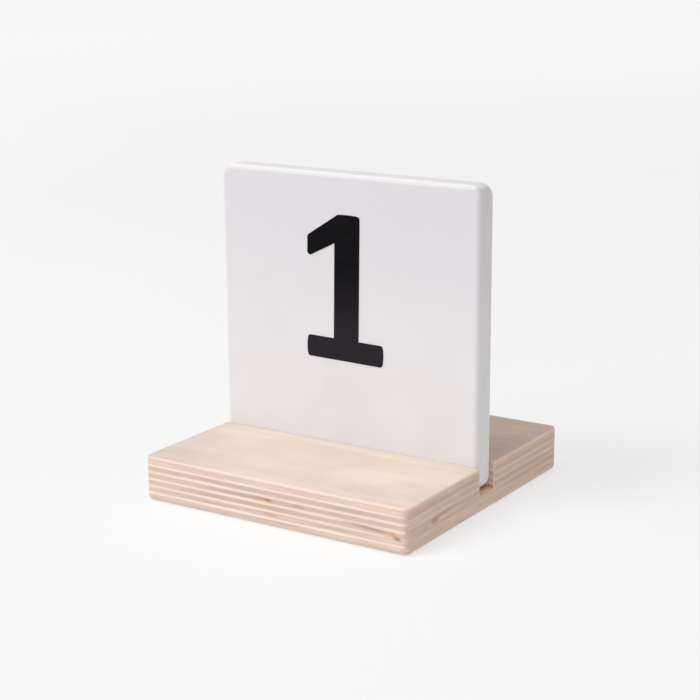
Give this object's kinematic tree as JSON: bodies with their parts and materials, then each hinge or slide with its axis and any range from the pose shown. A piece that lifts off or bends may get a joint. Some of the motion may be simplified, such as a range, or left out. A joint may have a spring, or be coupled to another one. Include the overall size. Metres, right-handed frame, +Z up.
{
  "type": "table number holder",
  "caption": "Square plywood block with a groove along its middle, in which a removable white board stands upright to show a table's number.",
  "frame": {"origin": "centre of the plywood block's underside", "axes": "+X along the board and the groove, towards the reader's right; -Y towards the reader, so the numeral faces -Y; +Z up"},
  "size_m": [0.12, 0.12, 0.1265],
  "materials": {
    "birch_long_grain": "fine sanded birch veneer, bare or matt oiled, grain along X",
    "birch_cross_grain": "sanded birch veneer with its grain along Y, seen as edges",
    "white_lacquer": "satin white lacquer over a smooth wood-fibre board",
    "black_vinyl": "matt black adhesive vinyl"
  },
  "bodies": {
    "base": {"ply_01_front": "birch_long_grain", "ply_01_rear": "birch_long_grain", "ply_02_front": "birch_cross_grain", "ply_02_rear": "birch_cross_grain", "ply_03_front": "birch_long_grain", "ply_03_rear": "birch_long_grain", "ply_04_front": "birch_cross_grain", "ply_04_rear": "birch_cross_grain", "ply_05_front": "birch_long_grain", "ply_05_rear": "birch_long_grain", "ply_06_front": "birch_cross_grain", "ply_06_rear": "birch_cross_grain", "ply_07_front": "birch_long_grain", "ply_07_rear": "birch_long_grain", "ply_08": "birch_cross_grain", "ply_09": "birch_long_grain", "ply_10": "birch_cross_grain", "ply_11": "birch_long_grain", "ply_12": "birch_cross_grain", "ply_13": "birch_long_grain"},
    "board": {"number_board": "white_lacquer", "numeral": "black_vinyl"}
  },
  "joints": [
    {"name": "board_lift", "type": "slide", "parent": "base", "child": "board", "axis": [0, 0, 1], "range_m": [0, 0.04]}
  ]
}
